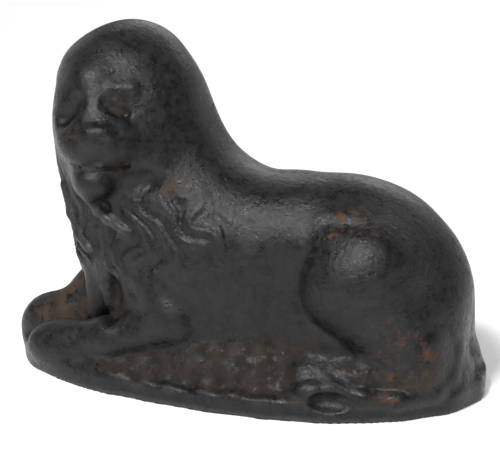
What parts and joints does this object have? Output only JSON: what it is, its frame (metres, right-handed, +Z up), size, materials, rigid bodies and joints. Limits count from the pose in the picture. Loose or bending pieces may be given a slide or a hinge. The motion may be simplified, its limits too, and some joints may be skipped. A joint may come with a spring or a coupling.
{
  "type": "recumbent lion figure",
  "caption": "Cast-iron lion lying on an oval base, head turned to look out over its left side, tail wrapped along the rim; a small ornament or doorstop.",
  "frame": {"origin": "centre of the outline on the flat underside", "axes": "+X along the body from head to rump, +Z up, the face looks towards -Y"},
  "size_m": [0.1281, 0.062, 0.0934],
  "materials": {
    "cast_iron": "worn dark waxed patina with rust in the hollows"
  },
  "bodies": {
    "root": {"lion_figure": "cast_iron"}
  },
  "joints": []
}
